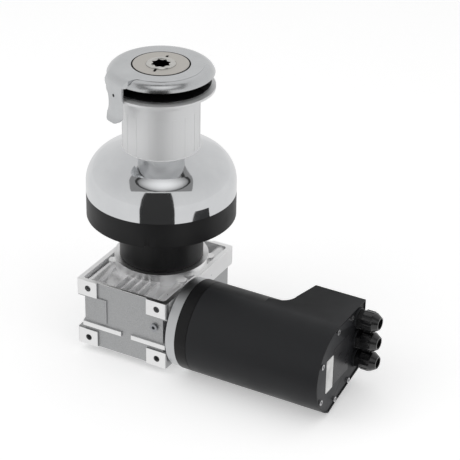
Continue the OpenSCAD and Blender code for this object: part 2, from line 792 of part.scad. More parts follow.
// The outside of the casting, about its own middle plane
module casting_body() {
    h = box_h;
    floor_z = h / 2 - recess_depth;
    // Rim walls and floor
    difference() {
        translate([box_cx, box_cy, -h / 2]) linear_extrude(h) round_rect(box_w, box_d, corner_r);
        for (s = [0, 1]) mirror([0, 0, s]) translate([box_cx, box_cy, floor_z])
            linear_extrude(h) round_rect(box_w - 2 * rim_wall, box_d - 2 * rim_wall, 4);
    }
    // Output bosses on both sides and the ring step round them
    translate([0, 0, -boss_low_h]) cylinder(r = boss_r, h = boss_h + boss_low_h);
    // Tunnel of the worm, a round hump across the front
    translate([0, worm_y, 0]) {
        bar_x(hump_r, housing_x0 + 12, housing_x1 - 3);
        translate([housing_x0 + 4, 0, 0]) rotate([0, 90, 0])
            cylinder(r1 = hump_r - 6, r2 = hump_r, h = 8 + eps);
    }
    // Cooling fins on the hump
    for (s = [0, 1]) mirror([0, 0, s]) for (x = [-18:11:26])
        translate([x, -box_front + 2, 0]) cube([3.2, box_front - boss_r + 12, h / 2 - 2]);
    // Webs from the bosses to the rim
    for (s = [0, 1], a = [35, 145, 90]) mirror([0, 0, s]) rotate([0, 0, a])
        translate([boss_r - 6, -2.5, 0]) cube([(a == 90 ? 14 : 22), 5, h / 2 - 4]);
    // Screw ears at the boss
    for (s = [0, 1], a = [-35, 35, 145, 215]) mirror([0, 0, s]) rotate([0, 0, a])
        translate([boss_r + 1, 0, 0]) cylinder(r = 6.5, h = h / 2 + 1);
    // Columns behind the foot holes
    for (x = foot_x, z = foot_z) translate([x, -box_front + 1, z]) rotate([-90, 0, 0])
        cylinder(r = 9, h = box_d - 2);
    // Oil filler boss on the front wall
    translate([oil_x, -box_front + 6, oil_z]) rotate([90, 0, 0]) cylinder(r = 8, h = 5.5);
}

// Cuts into the casting, about its own middle plane
module casting_cuts() {
    pad_w = 29;
    // Front and back walls between the machined pads
    for (s = [-1, 1]) {
        y = s < 0 ? -box_front - 1 : box_back - pad_t;
        translate([housing_x0 + pad_w, y, -box_h / 2 - 1])
            cube([box_w - 2 * pad_w, pad_t + 1, box_h + 2]);
        translate([housing_x0 - 1, y, -foot_dz / 2 + 11.4]) cube([box_w + 2, pad_t + 1, foot_dz - 22.4]);
    }
    // Side walls between the feet
    translate([housing_x0 - 1, -box_front - 1, -24]) cube([11, box_d + 2, 46]);
    translate([housing_x1 - 6, -box_front - 1, -24]) cube([7, box_d + 2, 46]);
    // Foot holes in the front and back faces
    for (x = foot_x, z = foot_z) translate([x, 0, z]) rotate([90, 0, 0]) {
        translate([0, 0, box_front - foot_hole_depth]) cylinder(d = foot_hole_d, h = 30);
        translate([0, 0, -box_back - 10]) cylinder(d = back_hole_d, h = foot_hole_depth + 10);
    }
    // Rooms for the wheel, the worm and their bearings
    translate([0, 0, -wheel_room_h]) cylinder(r = wheel_room_r, h = 2 * wheel_room_h);
    translate([0, 0, 0]) cylinder(r = hub_out_r + 4, h = big);
    translate([0, 0, wheel_room_h - eps]) cylinder(r = output_bearing_r, h = output_bearing_w);
    translate([0, 0, -big]) cylinder(r = cover_seat_r, h = big - wheel_room_h + eps);
    translate([0, worm_y, 0]) {
        bar_x(worm_tip_r + 2.5, -worm_bearing_x - 1, worm_bearing_x + 1);
        bar_x(worm_bearing_r, housing_x0 - 10, -worm_bearing_x);
        bar_x(worm_bearing_r, worm_bearing_x, housing_x1 + 10);
    }
    translate([0, worm_y, 0]) bar_x(end_cap_r + gap, housing_x0 - 1, housing_x0 + 10);
    // Threaded holes
    ring_of(6, neck_bolt_r, 30) translate([0, 0, boss_h - 14]) cylinder(d = 6 + 2 * seat, h = 20);
    ring_of(8, cover_bolt_r, 22.5) translate([0, 0, -boss_low_h - 1]) cylinder(d = 5 + 2 * seat, h = 16);
    translate([oil_x, -box_front - 3, oil_z]) rotate([-90, 0, 0]) cylinder(r = 5 + seat, h = 14);
}
corner_r = 2.5;
pad_t = 2.5;
hump_r = 40;
oil_x = 46;
oil_z = 8.5;
cover_seat_r = wheel_room_r;
cover_bolt_r = cover_seat_r + 6.5;

// The ledge across the front above the lower feet, with its notch, and the bare name pad
module front_ledge() {
    difference() {
        along_x(housing_x0 + 8, housing_x1 - 2) polygon([
            [-box_front, -19.5], [-box_front, -13.5], [-box_front + 6, -10.5], [-box_front + 6, -19.5]
        ]);
        translate([-1.8, -box_front - 1, -20]) cube([14.5, 6, 7.8]);
    }
    translate([-37, -box_front + 1, -9]) cube([13.5, 3, 34]);
}

module gearbox_housing() {
    color("#bfc1c3") translate([0, 0, gearbox_z]) difference() {
        union() {
            difference() {
                casting_body();
                casting_cuts();
            }
            front_ledge();
        }
        for (a = [0:60:300]) translate([0, worm_y, 0]) rotate([a, 0, 0])
            translate([housing_x1 - 12, 0, flange_bolt_r]) bar_x(2.5 + seat, 0, 30);
        for (a = [45:90:315]) translate([0, worm_y, 0]) rotate([a, 0, 0])
            translate([housing_x0 - 1, 0, end_bolt_r]) bar_x(2 + seat, 0, 24);
    }
}
flange_bolt_r = 28;
motor_bolt_r = 46;
coupling_x = motor_x1 - 10;
end_bolt_r = 25;
end_cap_r = 29;

module gearbox_cover() {
    low = -boss_low_h - cover_flange_t;
    color("#c8cacc") translate([0, 0, gearbox_z]) difference() {
        union() {
            tube(cover_seat_r - seat, hub_out_r + 4, low, -wheel_room_h - eps);
            tube(boss_r - 1, hub_out_r + 4, low, -boss_low_h - eps);
        }
        translate([0, 0, -wheel_room_h - output_bearing_w]) cylinder(r = output_bearing_r, h = big);
        translate([0, worm_y, 0]) bar_x(worm_tip_r + 1.5, -big, big);
        ring_of(8, cover_bolt_r, 22.5) translate([0, 0, low - 1]) {
            cylinder(d = 5 + 2 * gap, h = 20);
            cylinder(d = 9, h = 4);
        }
    }
}

module cover_bolts() {
    color("silver") translate([0, 0, gearbox_z - boss_low_h - cover_flange_t + 3 - eps])
        ring_of(8, cover_bolt_r, 22.5) mirror([0, 0, 1]) cap_screw(5, 14, 8.5, 3);
}

module worm_wheel() {
    tooth = [for (s = [-1, 1], k = [0:4])
        let (kk = s < 0 ? k : 4 - k,
             r = wheel_r - 1.2 * worm_m + (2.1 * worm_m) * kk / 4)
        polar(r, s * half_tooth(worm_m, wheel_z, r, tooth_thinning))];
    root_r = wheel_r - 1.2 * worm_m + 0.3;
    color("#b88a3c") translate([0, 0, gearbox_z]) difference() {
        union() {
            tube(root_r, hub_out_r + seat, -wheel_w / 2, wheel_w / 2);
            intersection() {
                translate([0, 0, -wheel_w / 2]) cylinder(r = wheel_tip_r, h = wheel_w);
                for (i = [0:wheel_z - 1]) rotate([0, 0, -90 + (i + 0.5) * 360 / wheel_z])
                    rotate([-lead_angle, 0, 0]) translate([0, 0, -wheel_w])
                        linear_extrude(2 * wheel_w) polygon(concat([[root_r - 2, -1.5]], tooth,
                            [[root_r - 2, 1.5]]));
            }
        }
        ring_of(6, 28) cylinder(d = 4 + 2 * seat, h = big, center = true);
    }
}

module wheel_hub() {
    key_w = 8;
    color("#c9ccd0") translate([0, 0, gearbox_z]) difference() {
        union() {
            translate([0, 0, -hub_len / 2]) cylinder(r = hub_out_r - 0.05, h = hub_len);
            ring_of(6, 28) translate([0, 0, -wheel_w / 2]) cylinder(d = 4, h = wheel_w + 0.1);
            translate([0, 0, wheel_w / 2 + eps]) cylinder(r = 31, h = 2);
        }
        translate([0, 0, -hub_len]) cylinder(r = spindle_r + seat, h = 2 * hub_len);
        translate([spindle_r - 1, -key_w / 2, -hub_len]) cube([4.3, key_w, 2 * hub_len]);
    }
}

module output_bearings() {
    color("#b9bcc0") translate([0, 0, gearbox_z]) for (s = [0, 1]) mirror([0, 0, s])
        translate([0, 0, wheel_room_h + eps])
            bearing(output_bearing_r - seat, hub_out_r + running, output_bearing_w - 2 * eps);
}

module output_seals() {
    color("#2b2320") translate([0, 0, gearbox_z]) for (s = [0, 1]) mirror([0, 0, s])
        tube(hub_out_r + 4 - seat, hub_out_r + running,
            wheel_room_h + output_bearing_w + 1, wheel_room_h + output_bearing_w + 8);
}

// The thread of the worm: its profile swept along a helix about the X axis
module worm_thread() {
    steps = 24;
    n = round(worm_len / worm_pitch * steps);
    half = worm_pitch / 4 - tooth_thinning / 2;
    in_r = worm_root_r - 0.5;
    tip = half - (worm_tip_r - worm_r) * tan(20);
    foot = half + (worm_r - in_r) * tan(20);
    profile = [[-foot, in_r], [-tip, worm_tip_r], [tip, worm_tip_r], [foot, in_r]];
    loft([for (i = [0:n]) [for (q = profile)
        let (a = (i - n / 2) * 360 / steps)
        [worm_pitch * a / 360 + q[0], q[1] * cos(a), q[1] * sin(a)]]]);
}

module worm_shaft() {
    color("#9a9da1") translate([0, worm_y, gearbox_z]) {
        difference() {
            union() {
                bar_x(worm_root_r, -worm_len / 2 - 7, worm_len / 2 + 7);
                bar_x(worm_shaft_r, -worm_bearing_x - worm_bearing_w - 4, coupling_x - 0.5);
                worm_thread();
            }
            bar_x(4 + seat, coupling_x - 14, coupling_x);
        }
    }
}

module worm_bearings() {
    color("#b9bcc0") translate([0, worm_y, gearbox_z]) for (s = [0, 1]) mirror([s, 0, 0])
        translate([worm_bearing_x + eps, 0, 0]) rotate([0, 90, 0])
            bearing(worm_bearing_r - seat, worm_shaft_r + running, worm_bearing_w);
}

module worm_end_cap() {
    x1 = housing_x0 + 10;
    color("#c8cacc") translate([0, worm_y, gearbox_z]) difference() {
        union() {
            bar_x(end_cap_r, x1 - 3.5, x1 - eps);
            tube_x(worm_bearing_r - seat, worm_bearing_r - 4, x1 - 1,
                -worm_bearing_x - worm_bearing_w - gap);
        }
        for (a = [45:90:315]) rotate([a, 0, 0])
            translate([x1 - 5, 0, end_bolt_r]) bar_x(2 + gap / 2, 0, 10);
    }
}

module oil_plugs() {
    color("#55585c") translate([oil_x, -box_front - 0.6, gearbox_z + oil_z])
        rotate([-90, 0, 0]) difference() {
        cylinder(r = 5, h = 9);
        translate([0, 0, -1]) cylinder(d = 5, h = 4, $fn = 6);
    }
}

flange_plate_x = housing_x1 + 3.5;
motor_bolt_sink = 6;

module input_flange() {
    color("#c8cacc") translate([0, worm_y, gearbox_z]) difference() {
        union() {
            bar_x(worm_bearing_r + 16, housing_x1 + eps, flange_plate_x + 1);
            bar_x(motor_r - 1.6, flange_plate_x, flange_plate_x + 0.8 + eps);
            bar_x(motor_r - 0.8, flange_plate_x + 0.8, motor_x0 - eps);
            tube_x(worm_bearing_r - seat, worm_bearing_r - 4,
                worm_bearing_x + worm_bearing_w + gap, housing_x1 + 1);
        }
        bar_x(worm_bearing_r - 5, 0, big);
        for (a = [0:60:300]) rotate([a, 0, 0])
            translate([0, 0, flange_bolt_r]) bar_x(2.5 + gap / 2, 0, big);
        for (a = [0:90:270]) rotate([a, 0, 0]) translate([0, 0, motor_bolt_r]) {
            bar_x(3 + gap / 2, 0, big);
            bar_x(5.5, flange_plate_x - 1, flange_plate_x + motor_bolt_sink);
        }
    }
}

module flange_bolts() {
    seat_x = flange_plate_x + motor_bolt_sink - eps;
    color("silver") translate([0, worm_y, gearbox_z]) {
        for (a = [0:60:300]) rotate([a, 0, 0])
            translate([motor_x0 + eps, 0, flange_bolt_r]) rotate([0, 90, 0])
                cap_screw(5, motor_x0 - housing_x1 + 8, 8, 2);
        for (a = [0:90:270]) rotate([a, 0, 0])
            translate([seat_x, 0, motor_bolt_r]) rotate([0, -90, 0])
                cap_screw(6, motor_x0 - seat_x + 9, 10, 5);
    }
}

// Motor, all about the motor axis

motor_in_r = motor_r - motor_wall;
control_x0 = motor_x2 - control_len;
control_low = -34;
plate_t = 3;
plate_inset = 1.2;
plate_rim = 2;
rotor_x0 = motor_x1 + 22;
commutator_x = rotor_x0 + armature_len + 10;
commutator_len = 20;
rear_x = commutator_x + commutator_len + 3;

// The control box seen from above, moved in by w, with its hollow front
module control_plan(w) {
    front = control_x0 + w;
    back = control_back - w;
    foot_r = 20;
    lean = 8;
    foot = [front - lean - foot_r, 16 + foot_r];
    polygon(concat(
        [[motor_x2 + 1, -18], [motor_x2 + 1, back], [front, back]],
        [for (a = [0:-10:-80]) foot + (foot_r + w) * [cos(a), sin(a)] - [w, 0]],
        [[foot[0] - 8, 14 - w], [foot[0] - 8, -18]]
    ));
}

// Section of the control box, moved in by w
module control_section(w) {
    low = control_low + w;
    polygon([
        [-18, 0], [-18, low - 18], [0, low - 14], [control_back - w, low],
        [control_back - w, motor_r - w], [0, motor_r - w]
    ]);
}

// Section of the motor with its control box, moved in by w
module motor_outline(w) {
    low = control_low + w;
    intersection() {
        circle(motor_r - w);
        polygon([
            [-100, 100], [control_back - w, 100], [control_back - w, low], [0, low - 14],
            [-60, low - 30], [-100, low - 30]
        ]);
    }
    control_section(w);
}

// The motor body as one closed form, moved in by w
module motor_form(w) {
    bar_x(motor_r - w, motor_x1 - (w > 0 ? 1 : 0), control_x0);
    along_x(control_x0 - eps, motor_x2) motor_outline(w);
    intersection() {
        along_x(control_x0 - 40, control_x0) control_section(w);
        translate([0, 0, -100]) linear_extrude(200) control_plan(w);
    }
}

module motor_front_ring() {
    color("#111112") translate([0, worm_y, gearbox_z]) difference() {
        union() {
            bar_x(motor_r - 0.6, motor_x0, motor_x0 + 0.6 + eps);
            bar_x(motor_r, motor_x0 + 0.6, motor_x1 - 0.5);
            bar_x(motor_in_r - seat, motor_x1 - 1, motor_x1 + 6);
        }
        bar_x(worm_bearing_r - 5, 0, big);
        bar_x(worm_bearing_r, motor_x1 - 8, big);
        for (a = [0:60:300]) rotate([a, 0, 0])
            translate([motor_x0 - 1, 0, flange_bolt_r]) bar_x(4.5, 0, 3.5);
        for (a = [0:90:270]) rotate([a, 0, 0])
            translate([motor_x0 - 1, 0, motor_bolt_r]) bar_x(3 + seat, 0, 12);
    }
}

module motor_housing() {
    plate_back = motor_x2 - plate_t - plate_inset - seat;
    color("#2a2b2d") translate([0, worm_y, gearbox_z]) difference() {
        union() {
            difference() {
                motor_form(0);
                motor_form(motor_wall);
            }
            for (p = plate_screws) translate([0, p[0], p[1]]) bar_x(4.5, plate_back - 12, plate_back);
        }
        along_x(plate_back, motor_x2 + 1) motor_outline(plate_rim);
        for (p = plate_screws) translate([0, p[0], p[1]]) bar_x(2 + seat, plate_back - 10, motor_x2);
    }
}

module motor_magnets() {
    color("#3a3a3d") translate([0, worm_y, gearbox_z]) difference() {
        tube_x(motor_in_r - seat, armature_r + 0.8, rotor_x0 - 2, rotor_x0 + armature_len + 2);
        for (a = [45, 135]) rotate([a, 0, 0])
            translate([0, -8, -big / 2]) cube([big, 16, big]);
    }
}

module motor_armature() {
    slots = 16;
    color("#7d5a34") translate([0, worm_y, gearbox_z]) difference() {
        union() {
            bar_x(armature_r, rotor_x0, rotor_x0 + armature_len);
            bar_x(armature_r - 5, rotor_x0 - 9, rotor_x0 + armature_len + 9);
        }
        for (i = [0:slots - 1]) rotate([i * 360 / slots, 0, 0])
            translate([rotor_x0 - 1, -1.4, armature_r - 3.5]) cube([armature_len + 2, 2.8, 6]);
        bar_x(8 + seat, 0, big);
    }
}

module motor_shaft() {
    color("#c9ccd0") translate([0, worm_y, gearbox_z]) {
        bar_x(8, coupling_x, rear_x + 8.8);
        bar_x(4, coupling_x - 13, coupling_x + 1);
    }
}

module commutator() {
    bars = 24;
    x0 = commutator_x;
    color("#b8733f") translate([0, worm_y, gearbox_z]) difference() {
        bar_x(18, x0, x0 + commutator_len);
        bar_x(8 + seat, 0, big);
        for (i = [0:bars - 1]) rotate([i * 360 / bars, 0, 0])
            translate([x0 - 1, -0.4, 16.8]) cube([18, 0.8, 3]);
    }
}

module brush_gear() {
    x0 = commutator_x + 2;
    color("#4a4238") translate([0, worm_y, gearbox_z]) {
        along_x(x0 + 12, x0 + 16) difference() {
            intersection() {
                circle(motor_in_r - seat);
                motor_outline(motor_wall + seat);
            }
            circle(30);
            for (a = [45, 135]) rotate(a) square([200, 10], center = true);
        }
        for (a = [0:90:270]) rotate([a, 0, 0])
            translate([x0, -4, 18 + gap]) cube([12.5, 8, 20]);
    }
}

module motor_bearings() {
    color("#b9bcc0") translate([0, worm_y, gearbox_z]) {
        translate([motor_x1 - 8 + eps, 0, 0]) rotate([0, 90, 0])
            bearing(worm_bearing_r - seat, 8 + running, 12);
        translate([rear_x, 0, 0]) rotate([0, 90, 0]) bearing(worm_bearing_r, 8 + running, 9);
        along_x(rear_x + 1, rear_x + 8) difference() {
            intersection() {
                circle(motor_in_r - seat);
                motor_outline(motor_wall + seat);
            }
            circle(worm_bearing_r + seat);
            for (a = [0:60:300]) rotate(a) translate([32, 0]) circle(6);
        }
    }
}

module motor_contactor() {
    x0 = rear_x + 9.4;
    color("#33353a") translate([0, worm_y, gearbox_z]) {
        translate([x0, -36, -22]) cube([motor_x2 - 18 - x0, 68, 44]);
        for (y = [-24, 20]) translate([x0 + 12, y, 21.9]) cylinder(d = 8, h = 14);
    }
}

module end_plate() {
    color("#4b4c4e") translate([0, worm_y, gearbox_z]) difference() {
        union() {
            along_x(motor_x2 - plate_t - plate_inset, motor_x2 - plate_inset)
                motor_outline(plate_rim + seat);
            for (i = [-1:1]) gland_at(i) bar_x(gland_r + 0.3, motor_x2 - plate_inset - eps, motor_x2 + 2);
        }
        for (i = [-1:1]) gland_at(i) bar_x(8 + seat, motor_x2 - 20, motor_x2 + 10);
        for (p = plate_screws) translate([0, p[0], p[1]]) bar_x(2 + gap / 2, motor_x2 - 20, motor_x2 + 5);
    }
}
plate_screws = [[-5, 52], [-45, 25], [-46, -25], [-7, -42.5], [33, 51.5], [30, -36.1]];
module gland_at(i) { translate([0, gland_row, gland_mid_z + i * gland_pitch]) children(); }

module end_plate_screws() {
    color("silver") translate([0, worm_y, gearbox_z])
        for (p = plate_screws) translate([motor_x2 - plate_inset + eps, p[0], p[1]]) rotate([0, 90, 0])
            cap_screw(4, 7, 7, 2.4);
}

gland_x = motor_x2 + 2;
module gland_bodies() {
    color("#151516") translate([0, worm_y, gearbox_z]) for (i = [-1:1]) gland_at(i) difference() {
        union() {
            bar_x(8, motor_x2 - 14, gland_x + eps);
            translate([gland_x + eps, 0, 0]) rotate([0, 90, 0]) cylinder(r = gland_r, h = 6, $fn = 6);
            bar_x(gland_r - 3, gland_x + 5, gland_x + 16);
        }
        bar_x(cable_r + 0.8, motor_x2 - 20, gland_x + 10);
        bar_x(gland_r - 5 + seat, gland_x + 8, gland_x + 20);
    }
}

module gland_nuts() {
    ribs = 12;
    color("#151516") translate([0, worm_y, gearbox_z]) for (i = [-1:1]) gland_at(i) difference() {
        union() {
            bar_x(gland_r - 0.6, gland_x + 6 + gap, gland_x + 20);
            for (k = [0:ribs - 1]) rotate([k * 360 / ribs, 0, 0])
                translate([0, 0, gland_r - 1.2]) bar_x(1.4, gland_x + 7, gland_x + 18);
            translate([gland_x + 20 - eps, 0, 0]) rotate([0, 90, 0])
                cylinder(r1 = gland_r - 0.6, r2 = cable_r + 3, h = 7);
        }
        bar_x(gland_r - 3 + seat, gland_x, gland_x + 17);
        bar_x(cable_r + 1.5, gland_x, gland_x + 40);
    }
}

module gland_seals() {
    color("#3d3d3f") translate([0, worm_y, gearbox_z]) for (i = [-1:1]) gland_at(i)
        difference() {
            union() {
                bar_x(gland_r - 5, gland_x + 8 + eps, gland_x + 16.8);
                bar_x(cable_r + 1.5 - seat, gland_x + 16, gland_x + 25);
            }
            bar_x(cable_r, gland_x, gland_x + 40);
        }
}

module gland_locknuts() {
    color("#b0b3b6") translate([0, worm_y, gearbox_z]) for (i = [-1:1]) gland_at(i) difference() {
        translate([motor_x2 - plate_inset - plate_t - 5, 0, 0]) rotate([0, 90, 0])
            cylinder(r = 12, h = 5 - eps, $fn = 6);
        bar_x(8 + seat, 0, big);
    }
}

base_flange();
neck();
neck_bolts_upper();
neck_bolts_lower();
centre_stem();
stem_bolts();
drum();
drum_ring_gear();
ring_gear_screws();
thrust_washer();
bearing_spacer();
drum_rollers();
roller_cages();
idler_gear_left();
idler_gear_right();
idler_pins();
main_spindle();
spindle_gear();
spindle_bush();
spindle_lower_bearing();
handle_socket();
lower_jaw();
upper_jaw();
jaw_carrier();
jaw_screws();
jaw_spring();
self_tailing_arm();
arm_screws();
line_stripper();
top_cap();
cap_ring();
gearbox_housing();
gearbox_cover();
cover_bolts();
worm_wheel();
wheel_hub();
output_bearings();
output_seals();
worm_shaft();
worm_bearings();
worm_end_cap();
oil_plugs();
input_flange();
flange_bolts();
motor_front_ring();
motor_housing();
motor_magnets();
motor_armature();
motor_shaft();
commutator();
brush_gear();
motor_bearings();
motor_contactor();
end_plate();
end_plate_screws();
gland_bodies();
gland_nuts();
gland_seals();
gland_locknuts();
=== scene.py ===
"""Looks of the electric self-tailing winch: materials, small scene pieces, camera and light."""
import json
import math

import bmesh
import bpy
from mathutils import Matrix, Vector


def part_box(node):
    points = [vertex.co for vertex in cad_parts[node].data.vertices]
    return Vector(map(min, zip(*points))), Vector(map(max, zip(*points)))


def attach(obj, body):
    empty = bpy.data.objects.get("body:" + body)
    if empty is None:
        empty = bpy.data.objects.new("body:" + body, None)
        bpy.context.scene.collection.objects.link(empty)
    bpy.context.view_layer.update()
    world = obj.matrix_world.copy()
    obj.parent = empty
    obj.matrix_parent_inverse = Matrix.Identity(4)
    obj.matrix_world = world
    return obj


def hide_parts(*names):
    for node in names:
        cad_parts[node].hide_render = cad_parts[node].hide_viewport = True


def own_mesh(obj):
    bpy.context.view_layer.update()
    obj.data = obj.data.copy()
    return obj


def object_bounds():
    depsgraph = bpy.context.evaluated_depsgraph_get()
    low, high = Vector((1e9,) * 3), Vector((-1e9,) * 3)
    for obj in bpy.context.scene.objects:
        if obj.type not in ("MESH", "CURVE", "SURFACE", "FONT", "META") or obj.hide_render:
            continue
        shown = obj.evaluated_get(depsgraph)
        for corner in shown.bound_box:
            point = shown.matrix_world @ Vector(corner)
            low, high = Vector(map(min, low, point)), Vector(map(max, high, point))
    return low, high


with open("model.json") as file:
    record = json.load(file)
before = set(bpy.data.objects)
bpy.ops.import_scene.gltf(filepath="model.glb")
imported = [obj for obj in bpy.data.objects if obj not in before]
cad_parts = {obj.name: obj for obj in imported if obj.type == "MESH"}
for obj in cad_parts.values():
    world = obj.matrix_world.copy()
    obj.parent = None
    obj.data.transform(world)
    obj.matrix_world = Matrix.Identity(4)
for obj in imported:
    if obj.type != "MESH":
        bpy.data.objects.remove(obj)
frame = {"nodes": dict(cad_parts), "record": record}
cad_box = [list(v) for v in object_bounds()]
nodes = frame["nodes"]


def middle(node):
    """Middle of a node's box."""
    low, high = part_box(node)
    return [(a + b) / 2 for a, b in zip(low, high)]


# Places taken from the frame
_, WORM_Y, GEAR_Z = middle("worm_shaft")
HOUSING_FRONT, HOUSING_BACK = (corner[1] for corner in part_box("gearbox_housing"))
MOTOR_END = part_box("motor_housing")[1][0]
SOCKET_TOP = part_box("handle_socket")[1][2]

# Places on nodes that their boxes don't give, metres
BARREL_R = 0.0492
BELL_TOP = 0.12
STAR_R = 0.0136
HOUSING_HALF_HEIGHT = 0.0466
RIM_WALL = 0.0065
RECESS_ABOVE_MIDDLE = 0.018
FACE_DEPTH = 0.00035
PLATE_INSET = 0.0012


# Node helpers
class Tree:
    """Short calls for the nodes of one node tree."""

    def __init__(self, tree):
        self.tree = tree

    def node(self, kind, **inputs):
        """A new node. An input is named with _ for a space, or by its number as i0, i1, i2."""
        n = self.tree.nodes.new(kind)
        for key, value in inputs.items():
            by_number = key[0] == "i" and key[1:].isdigit()
            target = n.inputs[int(key[1:])] if by_number else n.inputs[key.replace("_", " ")]
            if hasattr(value, "is_linked"):
                self.tree.links.new(value, target)
            else:
                target.default_value = value
        return n

    def place(self):
        return self.node("ShaderNodeTexCoord").outputs["Object"]

    def axis(self, which, vector=None):
        return self.node("ShaderNodeSeparateXYZ", Vector=vector or self.place()).outputs[which]

    def scaled(self, scale):
        return self.node("ShaderNodeMapping", Vector=self.place(), Scale=scale).outputs["Vector"]

    def noise(self, scale, detail=3.0, roughness=0.55, vector=None):
        n = self.node("ShaderNodeTexNoise", Vector=vector or self.place(), Scale=scale, Detail=detail,
                      Roughness=roughness)
        return n.outputs["Fac"]

    def streaks(self, scale, detail=2.0, roughness=0.5):
        """Noise that is drawn out along the axes with a small scale."""
        return self.noise(1.0, detail, roughness, self.scaled(scale))

    def span(self, value, a, b, lo=0.0, hi=1.0):
        n = self.node("ShaderNodeMapRange", Value=value, From_Min=a, From_Max=b, To_Min=lo, To_Max=hi)
        return n.outputs[0]

    def maths(self, op, a, b=0.0, c=0.0):
        n = self.node("ShaderNodeMath", i0=a, i1=b, i2=c)
        n.operation = op
        return n.outputs[0]

    def both(self, *masks):
        """1 where every mask is 1."""
        out = masks[0]
        for mask in masks[1:]:
            out = self.maths("MULTIPLY", out, mask)
        return out

    def above(self, a, b):
        return self.maths("GREATER_THAN", a, b)

    def under(self, a, b):
        return self.maths("LESS_THAN", a, b)

    def either(self, mask, a, b):
        """a where the mask is 0, b where it is 1."""
        return self.node("ShaderNodeMapRange", Value=mask, To_Min=a, To_Max=b).outputs[0]

    def tint(self, factor, a, b):
        """Colour a where the factor is 0, colour b where it is 1."""
        n = self.tree.nodes.new("ShaderNodeMix")
        n.data_type = "RGBA"
        for index, value in ((0, factor), (6, a), (7, b)):
            if hasattr(value, "is_linked"):
                self.tree.links.new(value, n.inputs[index])
            else:
                n.inputs[index].default_value = (*value, 1.0)
        return n.outputs[2]

    def bump(self, height, strength, distance, normal=None):
        n = self.node("ShaderNodeBump", Strength=strength, Distance=distance, Height=height)
        if normal is not None:
            self.tree.links.new(normal, n.inputs["Normal"])
        return n.outputs["Normal"]

    def edge(self):
        """0 in hollows and on flats, 1 on outer edges."""
        point = self.tree.nodes.new("ShaderNodeNewGeometry").outputs["Pointiness"]
        return self.span(point, 0.52, 0.6)

    def radius(self):
        """Distance from the winch axis."""
        x, y = self.axis("X"), self.axis("Y")
        squares = self.maths("ADD", self.maths("MULTIPLY", x, x), self.maths("MULTIPLY", y, y))
        return self.maths("SQRT", squares)


class Shader(Tree):
    """A principled material."""

    def __init__(self, name, color, metallic=0.0, roughness=0.5, **sockets):
        self.material = bpy.data.materials.new(name)
        self.material.use_nodes = True
        super().__init__(self.material.node_tree)
        self.base = self.tree.nodes["Principled BSDF"]
        self.set("Base Color", (*color, 1.0))
        self.set("Metallic", metallic)
        self.set("Roughness", roughness)
        for key, value in sockets.items():
            self.set(key.replace("_", " "), value)
        self.material.diffuse_color = (*color, 1.0)

    def set(self, socket, value):
        self.base.inputs[socket].default_value = value

    def put(self, socket, output):
        self.tree.links.new(output, self.base.inputs[socket])


# Materials
EVEN_SCRATCHES = (400, 400, 400)
TURNED = (40, 40, 3000)


def fine_metal(name, color, roughness, spread, scratch, lines=EVEN_SCRATCHES):
    """A metal with faint scratches along lines and uneven polish."""
    s = Shader(name, color, 1.0, roughness)
    worn = s.noise(38.0, detail=4.0, roughness=0.6)
    s.put("Roughness", s.span(worn, 0.3, 0.75, roughness - spread, roughness + spread))
    s.put("Normal", s.bump(s.streaks(lines), scratch, distance=0.00002))
    s.put("Base Color", s.tint(s.span(worn, 0.25, 0.8), tuple(c * 0.93 for c in color), color))
    return s


def drum_chrome():
    """Polished bell, with a satin barrel and flange."""
    s = Shader("drum_chrome", (0.8, 0.81, 0.82), 1.0, 0.1)
    satin = s.maths("MAXIMUM", s.under(s.radius(), BARREL_R), s.above(s.axis("Z"), BELL_TOP))
    mottle = s.noise(30.0)
    polish = s.span(mottle, 0.3, 0.8, 0.045, 0.09)
    s.put("Metallic", s.either(satin, 1.0, 0.45))
    s.put("Roughness", s.maths("ADD", s.maths("MULTIPLY", satin, 0.46), polish))
    turned = s.streaks((30, 30, 4500), roughness=0.6)
    upright = s.streaks((700, 700, 18), roughness=0.6)
    normal = s.bump(turned, 0.02, distance=0.00002)
    s.put("Normal", s.bump(s.maths("MULTIPLY", upright, satin), 0.25, distance=0.00006, normal=normal))
    mirror = s.tint(s.span(mottle, 0.3, 0.8), (0.72, 0.73, 0.745), (0.78, 0.79, 0.8))
    s.put("Base Color", s.tint(satin, mirror, (0.88, 0.885, 0.89)))
    return s


def cover_metal():
    """Polished casting with fine turned rings."""
    s = Shader("cover_metal", (0.74, 0.75, 0.76), 1.0, 0.22)
    mottle = s.noise(26.0, detail=4.0, roughness=0.6)
    s.put("Roughness", s.span(mottle, 0.3, 0.8, 0.16, 0.28))
    outward = s.node("ShaderNodeCombineXYZ", X=s.maths("MULTIPLY", s.radius(), 5200.0)).outputs[0]
    s.put("Normal", s.bump(s.noise(1.0, detail=2.0, roughness=0.5, vector=outward), 0.05, distance=0.00003))
    s.put("Base Color", s.tint(s.span(mottle, 0.3, 0.75), (0.6, 0.61, 0.62), (0.69, 0.7, 0.71)))
    return s


def cap_metal():
    """Warm metal, brushed one way."""
    s = Shader("cap_metal", (0.6, 0.57, 0.53), 1.0, 0.34)
    brushed = s.streaks((2600, 60, 60), detail=3.0, roughness=0.6)
    s.put("Roughness", s.span(brushed, 0.25, 0.8, 0.28, 0.42))
    s.put("Normal", s.bump(brushed, 0.12, distance=0.00004))
    s.put("Base Color", s.tint(brushed, (0.55, 0.52, 0.48), (0.68, 0.66, 0.62)))
    return s


def socket_metal():
    """Bright rim, with painted shade down in the star."""
    bright = (0.66, 0.65, 0.62)
    s = fine_metal("bright_socket", bright, roughness=0.2, spread=0.06, scratch=0.06)
    # Painted shade: the colour goes near black below the rim inside the star, where the deep socket is
    # shaded.
    sinking = s.span(s.axis("Z"), SOCKET_TOP - 0.0012, SOCKET_TOP - 0.0044)
    painted_star_shade = s.both(sinking, s.under(s.radius(), STAR_R))
    s.put("Base Color", s.tint(painted_star_shade, bright, (0.03, 0.029, 0.027)))
    return s


